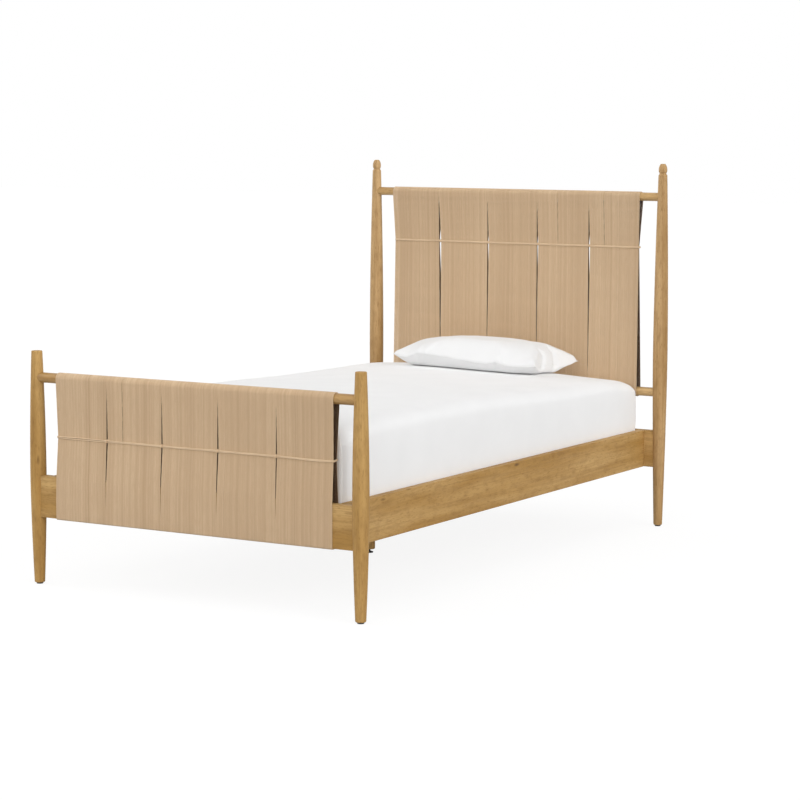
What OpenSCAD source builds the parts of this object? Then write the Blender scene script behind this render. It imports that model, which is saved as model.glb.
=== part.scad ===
// Single bed with turned wooden posts. The headboard and the footboard are panels of paper
// cord wound round the cross members and drawn in at the middle by a binding cord.
// X is the width, Y runs from the foot (-Y) to the head (+Y), Z is up. The origin is on the
// floor under the middle of the bed. Millimetres.

/* [Overall] */
// Width over the foot posts
bed_w = 1193.8; // [1150:1:1300]
// Length over the posts
bed_l = 2006.6; // [1950:1:2150]
// Height of the headboard posts
head_h = 1251; // [1200:1:1350]
// Height of the footboard posts
foot_h = 709; // [690:1:760]

/* [Posts] */
// Greatest diameter of a foot post
foot_post_d = 49; // [47:0.5:56]
// Height at which a foot post is thickest
foot_swell_z = 340; // [300:5:380]
// Diameter of a foot post at its top
foot_top_d = 33; // [28:0.5:36]
// Diameter of a foot post at its base
foot_base_d = 31.5; // [26:0.5:34]
// Greatest diameter of a head post
head_post_d = 50.5; // [48:0.5:56]
// Height at which a head post is thickest
head_swell_z = 580; // [550:5:660]
// Diameter of a head post under its finial
head_top_d = 30.5; // [28:0.5:34]
// Diameter of a head post at its base
head_base_d = 30; // [27:0.5:34]
// Height of the finial, groove included
finial_h = 40; // [34:1:50]
// Diameter of the finial
finial_d = 29.5; // [27.5:0.5:31]
// Diameter of the groove under the finial
groove_d = 24; // [21:0.5:26]
// Flat on top of the finial
finial_flat_d = 15; // [10:0.5:18]
// Rounding at the base of each post
base_round = 4; // [2:0.5:6]
// Rounding at the top of a foot post
top_round = 2.5; // [1:0.5:4]
// Thickness of the pads under the posts
pad_t = 4; // [3:0.5:6]
// Diameter of the pads under the posts
pad_d = 20; // [16:0.5:22]

/* [End frames] */
// Diameter of the footboard's top dowel
foot_dowel_d = 31; // [26:0.5:32]
// Depth of the footboard's top dowel below the tops of its posts, at its axis
foot_dowel_drop = 80; // [72:1:110]
// Diameter of the headboard's top dowel
head_dowel_d = 29; // [25:0.5:30]
// Depth of the headboard's top dowel below the tops of its posts, at its axis
head_dowel_drop = 113; // [106:1:150]
// Diameter of the headboard's lower dowel
low_dowel_d = 31; // [26:0.5:34]
// Height of the headboard's lower dowel, at its axis
low_dowel_z = 466; // [440:1:500]
// Height of the flat rails, end and side
rail_h = 127; // [110:1:140]
// Underside of the flat rails
rail_z = 206; // [190:1:220]
// Thickness of the end rails
end_rail_t = 28; // [24:0.5:30]
// Rounding of the end rails' long edges
rail_round = 3; // [1:0.5:4]
// Diameter of the dowels' tenons
tenon_d = 15; // [12:0.5:18]
// Thickness of the end rails' tenons
tenon_t = 12; // [8:0.5:16]
// How far a tenon runs past the axis of its post
tenon_past = 6; // [3:0.5:8]

/* [Rope panels] */
// Thickness of the wound layer, one paper cord
cord_d = 3; // [2:0.25:4]
// Gap between a wound panel's edge and the fittings of the side rails
panel_side_gap = 7.1; // [2:0.1:30]
// Sections in a panel
sections = 5; // [5]
// Depth of the footboard's binding cord below its top dowel
foot_bind_drop = 175; // [140:1:200]
// Depth of the headboard's binding cord below its top dowel
head_bind_drop = 174; // [140:1:240]
// Thickness of the footboard panel at its binding cord
foot_waist = 20; // [14:0.5:28]
// Thickness of the headboard panel at its binding cord
head_waist = 8; // [7:0.5:16]
// Width of the footboard's slits at the binding cord
foot_slit = 5.5; // [4:0.25:9]
// Width of the headboard's slits at the binding cord
head_slit = 3.8; // [3.5:0.1:7]
// How far the panel's outer edges are drawn in at the binding cord
edge_in = 7; // [2:0.5:12]
// Diameter of the binding cords
bind_d = 3; // [2:0.25:4]
// Diameter of the ties in the slits
tie_d = 2.5; // [1.5:0.25:3]

/* [Side rails and slats] */
// Thickness of the side rails
side_rail_t = 25; // [22:0.5:30]
// Gap between a side rail and the middle plane of its posts' row
side_rail_in = 49.8; // [44:0.1:52]
// Rounding of the side rails' long edges
side_round = 2; // [1:0.5:4]
// Height of the ledger strips
ledger_h = 30; // [26:1:36]
// Thickness of the ledger strips
ledger_t = 22; // [18:1:28]
// Height of the slats' top face over the floor
slat_top = 283; // [275:1:295]
// Thickness of the slats
slat_t = 18; // [14:0.5:22]
// Width of a slat
slat_w = 70; // [60:1:80]
// Number of slats
slat_n = 13; // [13]
// Gap between the end slats and the end rails' wound panels
slat_end_gap = 30; // [10:1:60]
// Gap between a slat's end and its side rail
slat_side_gap = 1.5; // [0.5:0.5:4]

/* [Centre support] */
// Width of the cross beam
beam_w = 60; // [56:1:70]
// Thickness of the steel plates and brackets
steel_t = 3; // [2:0.5:4]
// Height of the cross beam
beam_h = 55; // [52:1:57]
// Diameter of the centre leg
leg_d = 36; // [30:1:44]
// Height of the centre leg's lower end over the floor
leg_z = 13; // [12:0.5:16]
// Side of the square plate over the leg
plate_side = 54; // [50:1:56]
// Diameter of the glide's threaded stem
stem_d = 6; // [5:0.5:8]
// Diameter of the glide's foot
glide_d = 24; // [18:1:28]
// Thickness of the glide's foot
glide_t = 4; // [3:0.5:5]
// Clearance under the glide's foot as set
glide_lift = 0.4; // [0.3:0.1:1]

/* [Fittings] */
// Diameter of the wood screws
screw_d = 4; // [3.5:0.5:4.5]
// Width of the rail fittings' plates
fitting_w = 18; // [16:0.5:22]
// Height of the rail fittings' plates
fitting_h = 105; // [100:1:110]
// Thickness of the rail fittings' plates
fitting_t = 2.5; // [2:0.5:3]
// How far a hook reaches through its keeper
hook_reach = 10; // [8:0.5:14]

/* [Mattress and pillow] */
// Thickness of the mattress
mattress_t = 262; // [200:1:300]
// Gap between the mattress and each side rail
mattress_side_gap = 9.6; // [5:0.1:20]
// Gap between the mattress and each wound panel
mattress_end_gap = 8; // [5:0.1:30]
// Radius of the mattress's upright corners
mattress_corner_r = 60; // [40:1:90]
// Radius of the mattress's top edge
mattress_edge_r = 45; // [30:1:60]
// Length of the pillow, across the bed
pillow_w = 575; // [500:1:760]
// Depth of the pillow
pillow_l = 315; // [280:1:480]
// Thickness of the pillow
pillow_t = 100; // [80:1:150]
// Gap between the pillow and the headboard's end of the mattress
pillow_head_gap = 44; // [5:1:80]

/* [Hidden] */
$fn = 64;

oak = [0.70, 0.54, 0.32];
oak_light = [0.80, 0.68, 0.48];
paper_cord = [0.75, 0.64, 0.51];
steel = [0.62, 0.63, 0.65];
black = [0.10, 0.10, 0.10];
linen = [0.95, 0.95, 0.95];

// Clearances
tenon_fit = 0.1;
wrap_gap = 0.15;
section_gap = 0.3;
bind_gap = 0.2;
soft_gap = 0.3;
thread_gap = 0.05;

// Places of the posts
post_x = bed_w / 2 - foot_post_d / 2;
foot_y = -(bed_l / 2 - foot_post_d / 2);
head_y = bed_l / 2 - head_post_d / 2;
rail_top = rail_z + rail_h;
foot_inner_y = foot_y + end_rail_t / 2;
head_inner_y = head_y - end_rail_t / 2;
finial_z = head_h - finial_h;
foot_dowel_z = foot_h - foot_dowel_drop;
head_dowel_z = head_h - head_dowel_drop;

// Turned details: the shoulder over a head post, half the groove's height, the round of the
// finial up to its widest part, and the steps of the long tapers
shoulder_r = 4;
shoulder_h = 8;
shoulder_turn = 65;
groove_half = 1.5;
bulb_h = 11;
foot_steps = 14;
head_steps = 18;

// Shoulder over and under an end rail's tenon, and the pin of a post's pad
tenon_shoulder = 15;
pin_d = 3;
pin_l = 12;

// Places of the side rails and what they carry
side_out = post_x - side_rail_in;
side_in = side_out - side_rail_t;
side_x = side_out - side_rail_t / 2;
ledger_top = slat_top - slat_t;
ledger_z = ledger_top - ledger_h;
ledger_in = side_in - ledger_t;
slat_x = side_in - slat_side_gap;
slat_screw_x = side_in - ledger_t / 2;
slat_y0 = foot_inner_y + cord_d + slat_end_gap + slat_w / 2;
slat_y1 = head_inner_y - cord_d - slat_end_gap - slat_w / 2;
slat_pitch = (slat_y1 - slat_y0) / (slat_n - 1);
mid_y = (slat_y0 + slat_y1) / 2;

// Centre support
beam_z = ledger_top - beam_h;
leg_top = beam_z - steel_t;
plate_hole = plate_side / 2 - 8;
bolt_d = 8;
bolt_in_leg = 35;
bolt_in_beam = 14;
insert_d = 11;
insert_l = 14;
stem_top = leg_z + insert_l + 8;
stem_hole_top = stem_top + 12;
glide_top = glide_lift + glide_t;
stem_z = glide_lift + 1.5;
boss_d = stem_d + 5;
boss_h = 2;

// Rail fittings
fitting_z = rail_z + rail_h / 2;
keeper_screw_dz = fitting_h / 2 - 6;
hook_screw_dz = keeper_screw_dz - 6;
hook_dz = 20;
hook_h = 24;
hook_w = 4;
fitting_screw_l = 20;
hook_drop = 6;

// Screws
head_d = screw_d * 2;
slat_screw_l = slat_t + 16;
ledger_screw_l = ledger_t + 13;
bracket_l = 45;
bracket_w = beam_w - 10;
bracket_gap = 0.5;
beam_screw_in = 27;
notch_fit = 0.1;

// Wound panels. A slit ends some way short of the members that the cord is wound on, and the
// footboard's runs on down over the face of its rail.
panel_w = 2 * (side_x - fitting_w / 2 - panel_side_gap);
section_w = panel_w / sections;
foot_bind_z = foot_dowel_z - foot_bind_drop;
head_bind_z = head_dowel_z - head_bind_drop;
slit_low = rail_top - 70;
foot_slit_high = foot_dowel_z - foot_dowel_d / 2 - 10;
head_slit_low = low_dowel_z + low_dowel_d / 2 + 10;
head_slit_high = head_dowel_z - head_dowel_d / 2 - 6;

// Mattress and pillow
mattress_z = slat_top + soft_gap;
mattress_top = mattress_z + mattress_t;
mattress_x = side_in - mattress_side_gap;
mattress_y0 = foot_inner_y + cord_d + mattress_end_gap;
mattress_y1 = head_inner_y - cord_d - mattress_end_gap;
pillow_y1 = mattress_y1 - pillow_head_gap;
pillow_y = pillow_y1 - pillow_l / 2;
pillow_z = mattress_top + soft_gap;

function arc(c, r, a0, a1, n) =
    [for (i = [0 : n]) c + r * [cos(a0 + (a1 - a0) * i / n), sin(a0 + (a1 - a0) * i / n)]];

function rounded(w, h, r) = concat(
    arc([w / 2 - r, -h / 2 + r], r, -90, 0, 5),
    arc([w / 2 - r, h / 2 - r], r, 0, 90, 5),
    arc([-w / 2 + r, h / 2 - r], r, 90, 180, 5),
    arc([-w / 2 + r, -h / 2 + r], r, 180, 270, 5)
);

function mirrored(pts) = [for (i = [len(pts) - 1 : -1 : 0]) [-pts[i][0], pts[i][1]]];

// Radius of a turned post: full at the swell, falling away to each end as a power of the
// distance
function taper(z, z_swell, r_swell, z_end, r_end, power) =
    r_swell - (r_swell - r_end) * pow(abs(z - z_swell) / abs(z_end - z_swell), power);

function foot_r(z) = z > foot_swell_z
    ? taper(z, foot_swell_z, foot_post_d / 2, foot_h, foot_top_d / 2, 1.87)
    : taper(z, foot_swell_z, foot_post_d / 2, pad_t, foot_base_d / 2, 1.6);

function head_r(z) = z > head_swell_z
    ? taper(z, head_swell_z, head_post_d / 2, finial_z, head_top_d / 2, 1.8)
    : taper(z, head_swell_z, head_post_d / 2, pad_t, head_base_d / 2, 1.5);

// Distance from a post's axis at which a member of half width w seats on a post of radius r
function seat(r, w) = sqrt(r * r - w * w) - 0.5;

foot_rail_seat = seat(foot_r(rail_z), end_rail_t / 2);
head_rail_seat = seat(head_r(rail_z), end_rail_t / 2);
foot_dowel_seat = seat(foot_r(foot_dowel_z), foot_dowel_d / 2);
head_dowel_seat = seat(head_r(head_dowel_z), head_dowel_d / 2);
low_dowel_seat = seat(head_r(low_dowel_z), low_dowel_d / 2);

// Turned posts, standing at the origin of their own axis
module foot_turning() {
    low = pad_t + base_round;
    high = foot_h - top_round;
    rotate_extrude()
        polygon(concat(
            [[0, pad_t]],
            arc([foot_r(low) - base_round, low], base_round, -90, 0, 5),
            [for (i = [1 : foot_steps]) let (z = low + (foot_swell_z - low) * i / foot_steps)
                [foot_r(z), z]],
            [for (i = [1 : foot_steps - 1])
                let (z = foot_swell_z + (high - foot_swell_z) * i / foot_steps) [foot_r(z), z]],
            arc([foot_r(high) - top_round, high], top_round, 0, 90, 4),
            [[0, foot_h]]
        ));
}

module head_turning() {
    low = pad_t + base_round;
    groove_z = finial_z + shoulder_h;
    bulb_z = groove_z + bulb_h;
    dome_h = head_h - bulb_z;
    dome_end = acos(finial_flat_d / finial_d);
    rotate_extrude()
        polygon(concat(
            [[0, pad_t]],
            arc([head_r(low) - base_round, low], base_round, -90, 0, 5),
            [for (i = [1 : head_steps]) let (z = low + (head_swell_z - low) * i / head_steps)
                [head_r(z), z]],
            [for (i = [1 : head_steps - 1])
                let (z = head_swell_z + (finial_z - head_swell_z) * i / head_steps) [head_r(z), z]],
            arc([head_top_d / 2 - shoulder_r, finial_z], shoulder_r, 0, shoulder_turn, 5),
            [[groove_d / 2, groove_z - groove_half], [groove_d / 2, groove_z + groove_half]],
            [for (i = [1 : 5]) let (a = 90 * i / 5) [
                groove_d / 2 + (finial_d - groove_d) / 2 * sin(a),
                groove_z + groove_half + (bulb_h - groove_half) * (1 - cos(a))
            ]],
            [for (i = [1 : 7]) let (a = dome_end * i / 7)
                [finial_d / 2 * cos(a), bulb_z + dome_h * sin(a) / sin(dome_end)]],
            [[0, head_h]]
        ));
}

// A round socket with a seat for the whole dowel, and a narrower hole for its tenon. side is
// the direction from the post towards the middle of the bed.
module dowel_socket(z, d, seat_at, side) {
    translate([0, 0, z])
        rotate([0, side * 90, 0])
            translate([0, 0, seat_at])
                cylinder(d = d + 2 * tenon_fit, h = foot_post_d);
    translate([0, 0, z])
        rotate([0, side * 90, 0])
            translate([0, 0, -tenon_past])
                cylinder(d = tenon_d + 2 * tenon_fit, h = foot_post_d);
}

// The flat seat and the mortise of an end rail
module rail_mortise(seat_at, side) {
    seat_w = end_rail_t + 2 * tenon_fit;
    seat_h = rail_h + 2 * tenon_fit;
    cut_w = tenon_t + 2 * tenon_fit;
    cut_h = rail_h - 2 * tenon_shoulder + 2 * tenon_fit;
    x0 = side > 0 ? seat_at : -seat_at - foot_post_d;
    x1 = side > 0 ? -tenon_past : tenon_past - foot_post_d;
    translate([x0, -seat_w / 2, rail_z - tenon_fit])
        cube([foot_post_d, seat_w, seat_h]);
    translate([x1, -cut_w / 2, rail_z + tenon_shoulder - tenon_fit])
        cube([foot_post_d, cut_w, cut_h]);
}

module pad_pin_hole() {
    translate([0, 0, pad_t - 1])
        cylinder(d = pin_d, h = pin_l + 1);
}

module foot_post(side) {
    color(oak)
        translate([-side * post_x, foot_y, 0])
            difference() {
                foot_turning();
                dowel_socket(foot_dowel_z, foot_dowel_d, foot_dowel_seat, side);
                rail_mortise(foot_rail_seat, side);
                pad_pin_hole();
            }
}

module head_post(side) {
    color(oak)
        translate([-side * post_x, head_y, 0])
            difference() {
                head_turning();
                dowel_socket(head_dowel_z, head_dowel_d, head_dowel_seat, side);
                dowel_socket(low_dowel_z, low_dowel_d, low_dowel_seat, side);
                rail_mortise(head_rail_seat, side);
                pad_pin_hole();
            }
}

// Round cross member with a tenon at each end
module dowel(y, z, d, seat_at) {
    body = 2 * (post_x - seat_at);
    whole = 2 * (post_x + tenon_past) - 2 * tenon_fit;
    color(oak)
        translate([0, y, z])
            rotate([0, 90, 0])
                union() {
                    cylinder(d = d, h = body, center = true);
                    cylinder(d = tenon_d, h = whole, center = true);
                }
}

// Flat end rail with its tenons and the housings of the two keeper plates. inward is the
// direction from the rail to the middle of the bed.
module end_rail(y, seat_at, inward) {
    body = 2 * (post_x - seat_at);
    whole = 2 * (post_x + tenon_past) - 2 * tenon_fit;
    color(oak)
        translate([0, y, 0])
            difference() {
                union() {
                    translate([-body / 2, 0, rail_z + rail_h / 2])
                        rotate([90, 0, 90])
                            linear_extrude(body)
                                polygon(rounded(end_rail_t, rail_h, rail_round));
                    translate([-whole / 2, -tenon_t / 2, rail_z + tenon_shoulder])
                        cube([whole, tenon_t, rail_h - 2 * tenon_shoulder]);
                }
                for (s = [-1, 1])
                    translate([s * side_x, inward * end_rail_t / 2, fitting_z])
                        keeper_housing(inward);
            }
}

module keeper_housing(inward) {
    cube([fitting_w, 2 * fitting_t, fitting_h], center = true);
    for (k = [-1, 1]) {
        pocket_d = hook_reach + 1;
        pocket_h = hook_h + hook_drop + 2;
        translate([0, -inward * pocket_d / 2, k * hook_dz - hook_drop / 2])
            cube([hook_w + 1, pocket_d, pocket_h], center = true);
        translate([0, 0, k * keeper_screw_dz])
            rotate([inward * 90, 0, 0])
                cylinder(d = screw_d, h = fitting_screw_l);
    }
}

// Closed loop of one wound layer in the Y-Z plane, from the tangent to the upper dowel
// through the waist to what carries it below. o is the distance off the members.
function tangent_at(c, r, p, turn) =
    atan2(p[1] - c[1], p[0] - c[0]) + turn * acos(r / norm(p - c));

function foot_half(o, w) = let (
    top = [0, foot_dowel_z],
    high = [end_rail_t / 2 - rail_round, rail_top - rail_round],
    low = [end_rail_t / 2 - rail_round, rail_z + rail_round],
    waist = [w, foot_bind_z],
    top_r = foot_dowel_d / 2 + o,
    rail_r = rail_round + o
) concat(
    arc(top, top_r, 90, tangent_at(top, top_r, waist, 1), 12),
    [waist],
    arc(high, rail_r, tangent_at(high, rail_r, waist, -1), 0, 3),
    arc(low, rail_r, 0, -90, 5)
);

function head_half(o, w) = let (
    top = [0, head_dowel_z],
    low = [0, low_dowel_z],
    waist = [w, head_bind_z],
    top_r = head_dowel_d / 2 + o,
    low_r = low_dowel_d / 2 + o
) concat(
    arc(top, top_r, 90, tangent_at(top, top_r, waist, 1), 12),
    [waist],
    arc(low, low_r, tangent_at(low, low_r, waist, -1), -90, 12)
);

module wound_layer(outer_half, inner_half) {
    translate([-panel_w / 2, 0, 0])
        rotate([90, 0, 90])
            linear_extrude(panel_w)
                difference() {
                    polygon(concat(outer_half, mirrored(outer_half)));
                    polygon(concat(inner_half, mirrored(inner_half)));
                }
}

// Front outline of section i: full width at both ends, drawn in at the binding cord
module section_outline(i, z_low, z_slit_low, z_bind, z_slit_high, z_high, slit) {
    x0 = -panel_w / 2 + (i - 1) * section_w + section_gap / 2;
    x1 = -panel_w / 2 + i * section_w - section_gap / 2;
    in0 = i == 1 ? edge_in : slit / 2;
    in1 = i == sections ? edge_in : slit / 2;
    rotate([90, 0, 0])
        linear_extrude(4 * end_rail_t, center = true)
            polygon([
                [x0, z_low], [x1, z_low], [x1, z_slit_low], [x1 - in1, z_bind],
                [x1, z_slit_high], [x1, z_high], [x0, z_high], [x0, z_slit_high],
                [x0 + in0, z_bind], [x0, z_slit_low]
            ]);
}

module foot_rope(i) {
    color(paper_cord)
        translate([0, foot_y, 0])
            intersection() {
                wound_layer(
                    foot_half(cord_d, foot_waist / 2),
                    foot_half(wrap_gap, foot_waist / 2 - cord_d)
                );
                section_outline(i, rail_z - 10, slit_low, foot_bind_z, foot_slit_high,
                    foot_dowel_z + foot_dowel_d, foot_slit);
            }
}

module head_rope(i) {
    color(paper_cord)
        translate([0, head_y, 0])
            intersection() {
                wound_layer(
                    head_half(cord_d, head_waist / 2),
                    head_half(wrap_gap, head_waist / 2 - cord_d)
                );
                section_outline(i, low_dowel_z - low_dowel_d, head_slit_low, head_bind_z,
                    head_slit_high, head_dowel_z + head_dowel_d, head_slit);
            }
}

// Two turns of cord round the whole panel, one above the other
module binding_cord(y, z, waist) {
    r = waist / 2 + bind_gap + bind_d / 2;
    x = panel_w / 2 - edge_in;
    color(paper_cord)
        for (turn = [-1, 1])
            translate([0, y, z + turn * bind_d / 2])
                ring(x, r, bind_d);
}

// Stadium ring of round cord, lying flat, with straight runs along X
module ring(half_run, r, d) {
    for (s = [-1, 1]) {
        translate([0, s * r, 0])
            rotate([0, 90, 0])
                cylinder(d = d, h = 2 * half_run, center = true, $fn = 16);
        translate([s * half_run, 0, 0])
            rotate([0, 0, -s * 90])
                rotate_extrude(angle = 180, $fn = 48)
                    translate([r, 0])
                        circle(d = d, $fn = 16);
    }
}

// One tie in each slit, drawn round the binding cord's front and back runs
module cord_ties(y, z, waist) {
    run = waist / 2 + bind_gap + bind_d / 2;
    r = bind_d + tie_d / 2;
    color(paper_cord)
        for (i = [1 : sections - 1])
            translate([-panel_w / 2 + i * section_w, y, z])
                rotate([90, 0, 90])
                    ring(run, r, tie_d);
}

// Side rail along Y, with housings for the hook plates at its ends and pilot holes inside
module side_rail(side) {
    color(oak)
        difference() {
            translate([side * side_x, head_inner_y, fitting_z])
                rotate([90, 0, 0])
                    linear_extrude(head_inner_y - foot_inner_y)
                        polygon(rounded(side_rail_t, rail_h, side_round));
            for (e = [-1, 1])
                translate([side * side_x, e > 0 ? head_inner_y : foot_inner_y, fitting_z])
                    hook_housing(e);
            ledger_screw_places(side)
                screw_hole(ledger_screw_l);
            bracket_screw_places(side)
                screw_hole(fitting_screw_l);
        }
}

module hook_housing(e) {
    cube([fitting_w, 2 * fitting_t, fitting_h], center = true);
    for (k = [-1, 1])
        translate([0, 0, k * hook_screw_dz])
            rotate([e * 90, 0, 0])
                cylinder(d = screw_d, h = fitting_screw_l);
}

// Wood screw with a flush head at the origin, pointing along -Z
module screw(length) {
    translate([0, 0, -length])
        cylinder(d = screw_d, h = length, $fn = 24);
    translate([0, 0, -screw_d / 2])
        cylinder(d1 = screw_d, d2 = head_d, h = screw_d / 2, $fn = 24);
}

module screw_hole(length) {
    translate([0, 0, -length])
        cylinder(d = screw_d, h = length + 1, $fn = 24);
    translate([0, 0, -screw_d / 2])
        cylinder(d1 = screw_d, d2 = head_d, h = screw_d / 2, $fn = 24);
    cylinder(d = head_d, h = 1, $fn = 24);
}

// Ledger screws stand between the slats, in every other gap from each end
module ledger_screw_places(side) {
    for (i = [1 : slat_n - 1])
        if (i % 2 == (i < slat_n / 2 ? 1 : 0))
            translate([side * ledger_in, slat_y0 + (i - 0.5) * slat_pitch, ledger_z + ledger_h / 2])
                rotate([0, -side * 90, 0])
                    children();
}

module ledger(side) {
    color(oak_light)
        difference() {
            translate([side * (ledger_in + ledger_t / 2), head_inner_y - cord_d - 2, ledger_z + ledger_h / 2])
                rotate([90, 0, 0])
                    linear_extrude(head_inner_y - foot_inner_y - 2 * cord_d - 4)
                        polygon(rounded(ledger_t, ledger_h, side_round));
            ledger_screw_places(side)
                screw_hole(ledger_screw_l);
            for (i = [1 : slat_n])
                slat_screw_place(i, side)
                    screw_hole(slat_screw_l);
        }
}

module slat_screw_place(i, side) {
    translate([side * slat_screw_x, slat_y0 + (i - 1) * slat_pitch, slat_top])
        children();
}

module slat(i) {
    color(oak_light)
        difference() {
            translate([-slat_x, slat_y0 + (i - 1) * slat_pitch, slat_top - slat_t / 2])
                rotate([90, 0, 90])
                    linear_extrude(2 * slat_x)
                        polygon(rounded(slat_w, slat_t, side_round));
            for (side = [-1, 1])
                slat_screw_place(i, side)
                    screw_hole(slat_screw_l);
        }
}

module slat_screws() {
    color(steel)
        for (i = [1 : slat_n], side = [-1, 1])
            slat_screw_place(i, side)
                screw(slat_screw_l);
}

module ledger_screws() {
    color(steel)
        for (side = [-1, 1])
            ledger_screw_places(side)
                screw(ledger_screw_l);
}

// Cross beam under the middle slat, notched at both ends round the ledgers
module cross_beam() {
    reach = side_in - steel_t;
    color(oak_light)
        difference() {
            translate([-reach, mid_y, beam_z + beam_h / 2])
                rotate([90, 0, 90])
                    linear_extrude(2 * reach)
                        polygon(rounded(beam_w, beam_h, side_round));
            for (side = [-1, 1]) {
                translate([side * (ledger_in + ledger_t / 2), mid_y, ledger_z + ledger_h / 2])
                    cube([ledger_t + 1, beam_w + 2, ledger_h + 2 * notch_fit], center = true);
                beam_screw_places(side)
                    screw_hole(fitting_screw_l);
            }
            plate_screw_places()
                screw_hole(fitting_screw_l);
            translate([0, mid_y, beam_z - 1])
                cylinder(d = bolt_d + 1, h = bolt_in_beam + 2);
        }
}

// Places of the two screws that hold a bracket to its side rail, and of the one under the beam
module bracket_screw_places(side) {
    for (dy = [-bracket_w / 4, bracket_w / 4])
        translate([side * (side_in - steel_t), mid_y + dy, (beam_z + ledger_z) / 2])
            rotate([0, -side * 90, 0])
                children();
}

module beam_screw_places(side) {
    translate([side * (side_in - beam_screw_in), mid_y, beam_z - steel_t])
        rotate([180, 0, 0])
            children();
}

// Angle bracket under each end of the cross beam
module beam_brackets() {
    leg_h = ledger_z - beam_z + steel_t - bracket_gap;
    color(steel)
        for (side = [-1, 1])
            difference() {
                union() {
                    translate([side * (side_in - steel_t / 2), mid_y, beam_z - steel_t + leg_h / 2])
                        cube([steel_t, bracket_w, leg_h], center = true);
                    translate([side * (side_in - bracket_l / 2), mid_y, beam_z - steel_t / 2])
                        cube([bracket_l, bracket_w, steel_t], center = true);
                }
                bracket_screw_places(side)
                    screw_hole(fitting_screw_l);
                beam_screw_places(side)
                    screw_hole(fitting_screw_l);
            }
}

module beam_bracket_screws() {
    color(steel)
        for (side = [-1, 1]) {
            bracket_screw_places(side)
                screw(fitting_screw_l);
            beam_screw_places(side)
                screw(fitting_screw_l);
        }
}

module plate_screw_places() {
    for (sx = [-1, 1], sy = [-1, 1])
        translate([sx * plate_hole, mid_y + sy * plate_hole, leg_top])
            rotate([180, 0, 0])
                children();
}

module leg_plate() {
    color(steel)
        difference() {
            translate([0, mid_y, leg_top])
                linear_extrude(steel_t)
                    polygon(rounded(plate_side, plate_side, 5));
            translate([0, mid_y, leg_top - 1])
                cylinder(d = bolt_d, h = steel_t + 2);
            plate_screw_places()
                screw_hole(fitting_screw_l);
        }
}

module leg_plate_screws() {
    color(steel)
        plate_screw_places()
            screw(fitting_screw_l);
}

module centre_leg() {
    edge = 3;
    color(oak)
        translate([0, mid_y, 0])
            difference() {
                rotate_extrude()
                    polygon(concat(
                        [[0, leg_z]],
                        arc([leg_d / 2 - edge, leg_z + edge], edge, -90, 0, 4),
                        [[leg_d / 2, leg_top], [0, leg_top]]
                    ));
                translate([0, 0, leg_z - 1])
                    cylinder(d = insert_d, h = insert_l + 1);
                translate([0, 0, leg_z - 1])
                    cylinder(d = stem_d + 1, h = stem_hole_top - leg_z + 1);
                translate([0, 0, leg_top - bolt_in_leg])
                    cylinder(d = bolt_d, h = bolt_in_leg + 1);
            }
}

module leg_hanger_bolt() {
    color(steel)
        translate([0, mid_y, leg_top - bolt_in_leg])
            cylinder(d = bolt_d, h = bolt_in_leg + steel_t + bolt_in_beam);
}

// Threaded sleeve in the leg's lower end
module leg_insert() {
    color(steel)
        translate([0, mid_y, leg_z])
            difference() {
                cylinder(d = insert_d, h = insert_l);
                translate([0, 0, -1])
                    cylinder(d = stem_d + 2 * thread_gap, h = insert_l + 2);
            }
}

module glide_stem() {
    color(black)
        translate([0, mid_y, stem_z])
            cylinder(d = stem_d, h = stem_top - stem_z);
}

// Moulded foot that the stem turns in
module glide_foot() {
    edge = 1;
    color(black)
        translate([0, mid_y, 0])
            difference() {
                rotate_extrude()
                    polygon(concat(
                        [[0, glide_lift], [glide_d / 2 - edge, glide_lift]],
                        arc([glide_d / 2 - edge, glide_lift + edge], edge, -90, 0, 3),
                        arc([glide_d / 2 - edge, glide_top - edge], edge, 0, 90, 3),
                        [[boss_d / 2 + boss_h, glide_top], [boss_d / 2, glide_top + boss_h]],
                        [[0, glide_top + boss_h]]
                    ));
                translate([0, 0, stem_z])
                    cylinder(d = stem_d + 2 * thread_gap, h = stem_top);
            }
}

// Plate with two hooks in each end of a side rail
module hook_plates() {
    color(steel)
        for (side = [-1, 1], e = [-1, 1])
            translate([side * side_x, e > 0 ? head_inner_y : foot_inner_y, fitting_z])
                difference() {
                    union() {
                        translate([0, -e * fitting_t / 2, 0])
                            cube([fitting_w, fitting_t, fitting_h], center = true);
                        for (k = [-1, 1])
                            hook(k, e);
                    }
                    for (k = [-1, 1])
                        translate([0, -e * 2 * fitting_t, k * hook_screw_dz])
                            rotate([-e * 90, 0, 0])
                                cylinder(d = screw_d, h = 3 * fitting_t);
                }
}

// Hook through the keeper, with a lip behind the plate that hangs below the slot
module hook(k, e) {
    translate([0, e * (hook_reach - fitting_t) / 2, k * hook_dz])
        cube([hook_w, hook_reach + fitting_t, hook_h], center = true);
    translate([0, e * (hook_reach + fitting_t + 0.3) / 2, k * hook_dz - hook_drop / 2])
        cube([hook_w, hook_reach - fitting_t - 0.3, hook_h + hook_drop], center = true);
}

// Slotted plate in each end rail that the hooks drop into
module keeper_plates() {
    color(steel)
        for (side = [-1, 1], e = [-1, 1])
            translate([side * side_x, e > 0 ? head_inner_y : foot_inner_y, fitting_z])
                difference() {
                    translate([0, e * fitting_t / 2, 0])
                        cube([fitting_w, fitting_t, fitting_h], center = true);
                    for (k = [-1, 1]) {
                        translate([0, e * fitting_t / 2, k * hook_dz])
                            cube([hook_w + 0.6, 2 * fitting_t, hook_h], center = true);
                        translate([0, -e * fitting_t, k * keeper_screw_dz])
                            rotate([-e * 90, 0, 0])
                                cylinder(d = screw_d, h = 3 * fitting_t);
                    }
                }
}

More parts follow.
